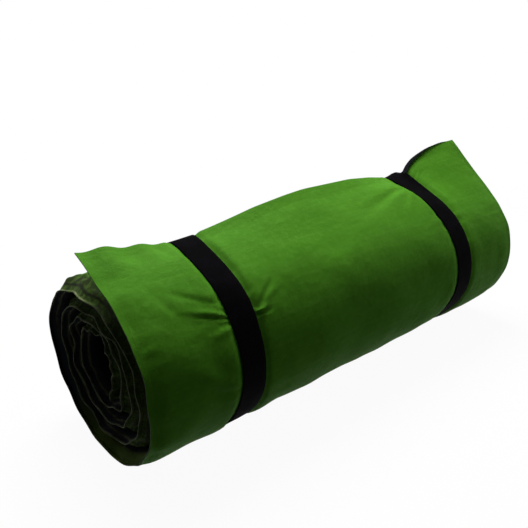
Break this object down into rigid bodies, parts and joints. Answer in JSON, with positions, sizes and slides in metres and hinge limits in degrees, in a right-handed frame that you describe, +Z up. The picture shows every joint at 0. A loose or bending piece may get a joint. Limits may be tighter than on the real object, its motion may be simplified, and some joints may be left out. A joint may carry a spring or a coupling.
{
  "type": "self-inflating camping mat",
  "caption": "Green camping ground mat rolled into a soft cylinder, its loose end on top, held by dark elastic bands, with an air valve with a twist cap in its hollow core.",
  "frame": {"origin": "on the ground, in the flat strip on which the roll rests, below the middle of the mat's width", "axes": "+X along the roll towards the end that holds the valve, +Y towards the roll's back, +Z up"},
  "size_m": [0.5186, 0.1996, 0.2163],
  "materials": {
    "green_fabric": "smooth woven",
    "base_fabric": "matt woven",
    "foam": "open cells",
    "elastic_band": "knitted",
    "valve_plastic": "moulded",
    "seal_rubber": "smooth"
  },
  "bodies": {
    "mat": {"top_panel": "green_fabric", "base_panel": "base_fabric", "foam_core": "foam", "valve_body": "valve_plastic"},
    "plug": {"valve_plug": "valve_plastic", "valve_seal": "seal_rubber"},
    "cap": {"valve_cap": "valve_plastic"},
    "left_band": {"strap_left": "elastic_band"},
    "right_band": {"strap_right": "elastic_band"}
  },
  "joints": [
    {"name": "strap_left_slide", "type": "slide", "parent": "mat", "child": "left_band", "axis": [-1, 0, 0], "range_m": [0, 0.135], "deforming": ["strap_left"]},
    {"name": "strap_right_slide", "type": "slide", "parent": "mat", "child": "right_band", "axis": [1, 0, 0], "range_m": [0, 0.135], "deforming": ["strap_right"]},
    {"name": "valve_plug_slide", "type": "slide", "parent": "mat", "child": "plug", "axis": [1, 0, 0], "range_m": [0, 0.004]},
    {"name": "valve_cap_turn", "type": "hinge", "parent": "plug", "child": "cap", "pos_m": [0.2412, -0.03659, 0.08518], "axis": [1, 0, 0], "range_deg": [0, 360]}
  ],
  "couplings": [
    {"joint": "valve_cap_turn", "follows": "valve_plug_slide", "rad_per_m": 1570.8}
  ]
}
